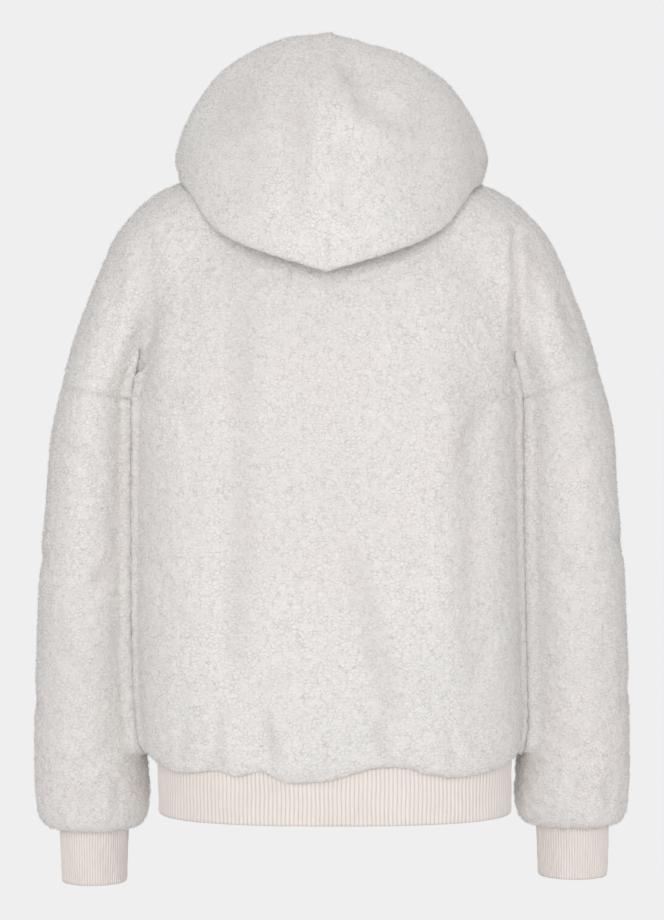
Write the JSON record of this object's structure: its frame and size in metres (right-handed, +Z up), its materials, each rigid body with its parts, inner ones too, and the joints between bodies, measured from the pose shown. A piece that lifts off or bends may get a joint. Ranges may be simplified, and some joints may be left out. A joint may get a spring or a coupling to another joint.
{
  "type": "zip-up hoodie",
  "caption": "Zip-up hoodie in curly deep-pile fleece, filled out as worn, with its hood down and standing open, dropped shoulders, ribbed cuffs and hem, and a full-length front zip.",
  "frame": {"origin": "middle of the neck, level with the tops of the shoulders, where a wearer's shoulders hold the garment up", "axes": "+Z up, -Y out of the front with the zip, +Y out of the back, +X towards the wearer's left"},
  "size_m": [0.644, 0.2926, 0.9027],
  "materials": {
    "fleece": "curly deep pile, cream",
    "rib_knit": "ribbed knit, warm cream",
    "zip_tape": "woven tape, cream",
    "zip_metal": "satin"
  },
  "bodies": {
    "garment": {"back": "fleece", "front_left": "fleece", "front_right": "fleece", "sleeve_left": "fleece", "sleeve_right": "fleece", "hood_left": "fleece", "hood_right": "fleece", "hem_rib": "rib_knit", "cuff_left": "rib_knit", "cuff_right": "rib_knit", "zip_tape_left": "zip_tape", "zip_tape_right": "zip_tape", "zip_chain": "zip_metal", "zip_slider": "zip_metal", "zip_box": "zip_metal"},
    "pull_tab": {"zip_pull": "zip_metal"}
  },
  "joints": [
    {"name": "pull_swing", "type": "hinge", "parent": "garment", "child": "pull_tab", "pos_m": [0, -0.09527, -0.10119], "axis": [-1, 0, 0], "range_deg": [0, 140]}
  ]
}
